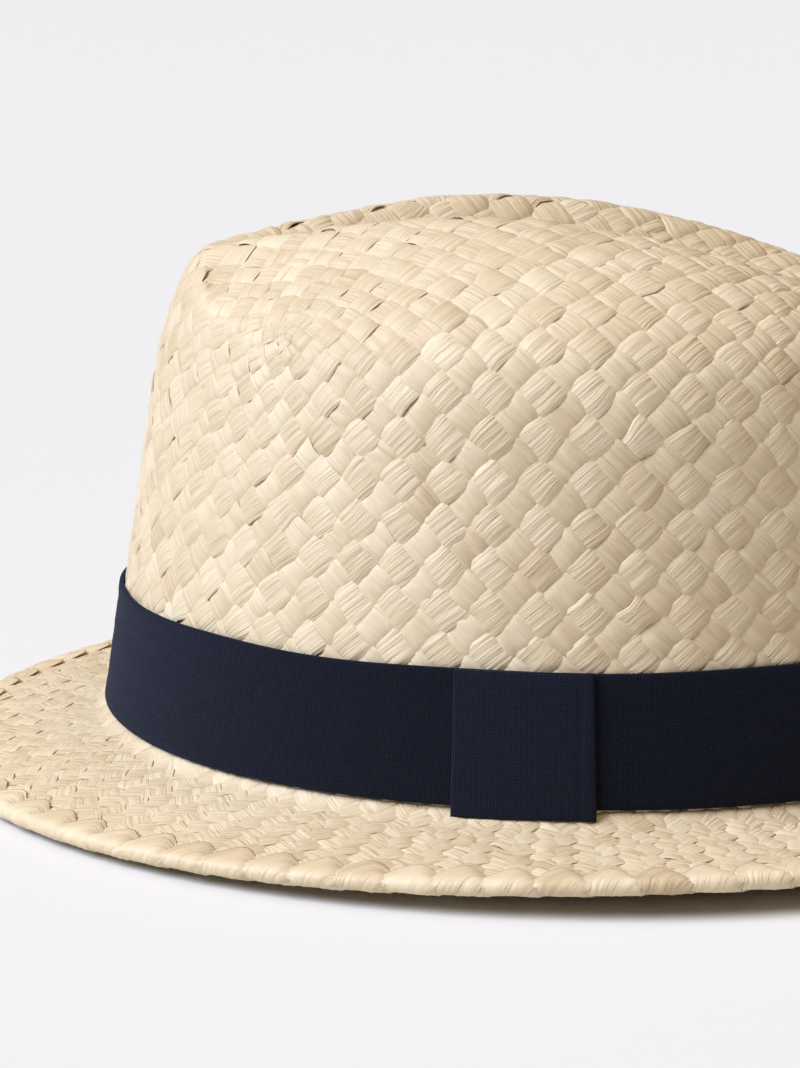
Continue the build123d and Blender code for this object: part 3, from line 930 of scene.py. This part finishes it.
def straw_material(name, painted_light_factor):
    """Flat twisted paper straw: pale, satiny, with lengthwise creases."""
    n = Nodes(name)
    uv = n.add("ShaderNodeUVMap", uv_map="UVMap").outputs["UV"]
    spot = n.add("ShaderNodeTexCoord").outputs["Object"]
    tint = n.add("ShaderNodeAttribute", attribute_name="tint").outputs["Fac"]
    fibre = n.noise(n.scaled(uv, 2600.0, 130.0), 1.0, 4.0, 0.6)
    crease = n.noise(n.scaled(uv, 1050.0, 60.0), 1.0, 3.0, 0.55)
    blotch = n.noise(spot, 90.0, 2.0)
    tone = n.math("ADD", n.math("MULTIPLY", tint, 0.34), n.math("MULTIPLY", crease, 0.40))
    tone = n.math("ADD", tone, n.math("MULTIPLY", fibre, 0.16))
    tone = n.math("ADD", tone, n.math("MULTIPLY", blotch, 0.10))
    tones = [(0.22, (0.47, 0.335, 0.185)), (0.42, (0.64, 0.50, 0.315)),
             (0.58, (0.725, 0.590, 0.393)), (0.80, (0.80, 0.684, 0.487))]
    # the factor scales every tone; above 1 it paints light in, making a lighter copy of the same
    # straw
    stops = []
    for at, shade in tones:
        stops.append((at, tuple(part * painted_light_factor for part in shade) + (1.0,)))
    colour = n.ramp(tone, stops)
    n.link(colour, n.shader.inputs["Base Color"])
    gloss = n.math("ADD", n.math("MULTIPLY", fibre, 0.25), 0.36)
    n.link(gloss, n.shader.inputs["Roughness"])
    n.shader.inputs["Specular IOR Level"].default_value = 0.42
    folds = n.bump(crease, 0.0006, 0.85)
    fine = n.bump(fibre, 0.00022, 0.7, folds)
    n.link(fine, n.shader.inputs["Normal"])
    return n.material


SHEEN_TINT = (0.105, 0.125, 0.215, 1.0)


def cloth_material(name, dark, light, pitch, sheen, rough):
    """Plain woven cloth: two crossing sets of threads with slubs. pitch is in millimetres."""
    dark, light = dark + (1.0,), light + (1.0,)
    n = Nodes(name)
    uv = n.add("ShaderNodeUVMap", uv_map="UVMap").outputs["UV"]
    warp = n.add("ShaderNodeTexWave", wave_type="BANDS", bands_direction="X")
    weft = n.add("ShaderNodeTexWave", wave_type="BANDS", bands_direction="Y")
    for wave in (warp, weft):
        wave.inputs["Scale"].default_value = 2.0 * math.pi / 20.0 / (pitch * MM)
        wave.inputs["Distortion"].default_value = 0.9
        wave.inputs["Detail"].default_value = 1.0
        wave.inputs["Detail Scale"].default_value = 0.7
        n.link(uv, wave.inputs["Vector"])
    threads = n.math("MULTIPLY", warp.outputs["Fac"], weft.outputs["Fac"])
    slub_across = n.noise(n.scaled(uv, 350.0, 2600.0), 1.0, 2.0)
    slub_up = n.noise(n.scaled(uv, 2600.0, 350.0), 1.0, 2.0)
    slub = n.math("ADD", n.math("MULTIPLY", slub_across, 0.5), n.math("MULTIPLY", slub_up, 0.5))
    tone = n.math("ADD", n.math("MULTIPLY", threads, 0.55), n.math("MULTIPLY", slub, 0.5))
    colour = n.ramp(tone, [(0.15, dark), (0.75, light)])
    n.link(colour, n.shader.inputs["Base Color"])
    n.shader.inputs["Roughness"].default_value = rough
    n.shader.inputs["Specular IOR Level"].default_value = 0.10
    n.shader.inputs["Sheen Weight"].default_value = sheen
    n.shader.inputs["Sheen Roughness"].default_value = 0.45
    n.shader.inputs["Sheen Tint"].default_value = SHEEN_TINT
    weave = n.bump(threads, 0.00016, 0.8)
    n.link(n.bump(slub, 0.00022, 0.6, weave), n.shader.inputs["Normal"])
    return n.material


def thread_material(name, dark, light):
    n = Nodes(name)
    spot = n.add("ShaderNodeTexCoord").outputs["Object"]
    twist = n.noise(n.scaled(spot, 3000.0, 3000.0, 900.0), 1.0, 2.0)
    n.link(n.ramp(twist, [(0.3, dark), (0.7, light)]), n.shader.inputs["Base Color"])
    n.shader.inputs["Roughness"].default_value = 0.7
    n.link(n.bump(twist, 0.0001, 0.7), n.shader.inputs["Normal"])
    return n.material


def floor_material():
    n = Nodes("studio_floor")
    n.shader.inputs["Base Color"].default_value = (0.745, 0.732, 0.70, 1.0)
    n.shader.inputs["Roughness"].default_value = 0.9
    n.shader.inputs["Specular IOR Level"].default_value = 0.1
    return n.material


# ============================ the hat ============================
straw = straw_material("plaited_straw", 1.0)
# painted light: the brim is the same straw as the crown, painted 5% lighter where it lies flat
brim_straw_painted_lighter = straw_material("plaited_straw_brim_painted_lighter", 1.05)
navy = cloth_material("navy_cloth", (0.0014, 0.0019, 0.0042), (0.0105, 0.0132, 0.0250),
                      0.42, 0.60, 0.80)
# painted light: the bow is the same navy cloth as the ribbon, given lighter tones
navy_bow_painted_lighter = cloth_material("navy_cloth_bow_painted_lighter", (0.003, 0.0038, 0.0075), (0.0165, 0.020, 0.038),
                          0.42, 0.60, 0.80)
lining = cloth_material("lining_cloth", (0.30, 0.24, 0.17), (0.56, 0.48, 0.37), 0.55, 0.15, 0.85)
satin = cloth_material("label_satin", (0.62, 0.60, 0.55), (0.84, 0.82, 0.78), 0.25, 0.1, 0.5)
beige_thread = thread_material("beige_thread", (0.42, 0.34, 0.22, 1.0), (0.66, 0.56, 0.40, 1.0))
navy_thread = thread_material("navy_thread", (0.004, 0.006, 0.014, 1.0), (0.02, 0.028, 0.06, 1.0))


def place(piece, material, slot, *nodes):
    piece.data.materials.clear()
    piece.data.materials.append(material)
    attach(piece, "root")
    if nodes:
        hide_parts(*nodes)


for piece in crown_pieces():
    place(piece, straw, "straw", "crown")
for piece in brim_pieces():
    place(piece, brim_straw_painted_lighter, "straw", "brim", "brim_folded_edge")
place(make_hat_band(), navy, "ribbon", "hat_band")
place(make_band_tab(), navy_bow_painted_lighter, "ribbon", "band_tab")
place(make_sweatband(), lining, "lining", "sweatband")
inner_face = LINING_INSET + LINING_THICK
patch_inset = inner_face + 0.35
BACK, LABEL_ANGLE = math.radians(90.0), math.radians(60.0)
place(patch("lining_tape", BACK, 12.0, 9.5, 35.0, patch_inset, 0.5, 0.1),
      lining, "lining", "sweatband_join_tape")
place(patch("blank_label", LABEL_ANGLE, 22.0, 17.0, 33.0, patch_inset, 0.4, 0.9),
      satin, "label", "size_label")
SEAM_STITCHES, SEAM_BREAK = 70, 6.0       # stitches in a full turn, degrees left free by the tape
seam_angles = BACK + 2.0 * math.pi * (np.arange(1, SEAM_STITCHES + 1) - 0.5) / SEAM_STITCHES
seam_angles = seam_angles[np.abs(np.degrees(seam_angles) % 360.0 - 90.0) > SEAM_BREAK]
place(thread_row("lining_stitches", seam_angles, 10.5, -inner_face - 0.12, 4.2, 0.5, 31),
      beige_thread, "thread", "sweatband_seam")
label_angles = LABEL_ANGLE + np.arange(-2, 3) * 4.0 / 90.0
place(thread_row("label_tacks", label_angles, 31.0, -inner_face - 0.95, 2.6, 0.45, 32),
      beige_thread, "thread", "label_stitches")
for node, material in (("crown_brim_seam", beige_thread), ("band_end_stitches", navy_thread)):
    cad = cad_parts[node]
    cad.data.materials.clear()
    cad.data.materials.append(material)


# ============================ studio ============================
def aim(thing, place, target, roll=0.0):
    """Stand a camera or lamp at a place, looking at a target."""
    way = (Vector(target) - Vector(place)).to_track_quat("-Z", "Y")
    thing.location = place
    thing.rotation_euler = (way.to_matrix() @ Matrix.Rotation(roll, 3, "Z")).to_euler()


def soft_sun(name, place, spread, strength, colour):
    """A large, far softbox: parallel light from a place towards the hat, spread in degrees."""
    data = bpy.data.lights.new(name, "SUN")
    data.angle = math.radians(spread)
    data.energy, data.color = strength, colour
    thing = bpy.data.objects.new(name, data)
    bpy.context.scene.collection.objects.link(thing)
    aim(thing, place, (0.0, 0.0, 0.0))


FLOOR_HALF = 14.0             # metres
FLOOR_Z = -BRIM_DIP * MM      # under the lowest places of the brim
floor_mesh = bpy.data.meshes.new("floor")
square = ((-1, -1), (1, -1), (1, 1), (-1, 1))
floor_mesh.from_pydata([(x * FLOOR_HALF, y * FLOOR_HALF, FLOOR_Z) for x, y in square],
                       [], [(0, 1, 2, 3)])
floor_mesh.materials.append(floor_material())
floor = bpy.data.objects.new("floor", floor_mesh)
bpy.context.scene.collection.objects.link(floor)

world = bpy.data.worlds.new("studio")
world.use_nodes = True
background = world.node_tree.nodes["Background"]
background.inputs["Color"].default_value = (1.0, 0.96, 0.90, 1.0)
background.inputs["Strength"].default_value = 0.10
bpy.context.scene.world = world
soft_sun("key", (0.23, -0.71, 0.67), 40.0, 3.3, (1.0, 1.12, 1.38))
soft_sun("top", (0.1, 0.0, 1.0), 80.0, 1.25, (1.0, 0.81, 0.58))

EYE = (0.5467, -0.0184, 0.1653)           # metres
LOOK = (-0.97579, -0.03326, -0.21616)     # way the camera looks
camera_data = bpy.data.cameras.new("camera")
FOCAL_SHARE = 2605.0 / 1068.0             # focal length as a share of the frame's height
camera_data.lens = FOCAL_SHARE * 36.0
camera_data.clip_start = 0.02
camera = bpy.data.objects.new("camera", camera_data)
bpy.context.scene.collection.objects.link(camera)
ROLL = math.radians(-0.24)
aim(camera, EYE, [EYE[k] + LOOK[k] for k in range(3)], ROLL)
bpy.context.scene.camera = camera
bpy.context.scene.view_settings.view_transform = "Standard"
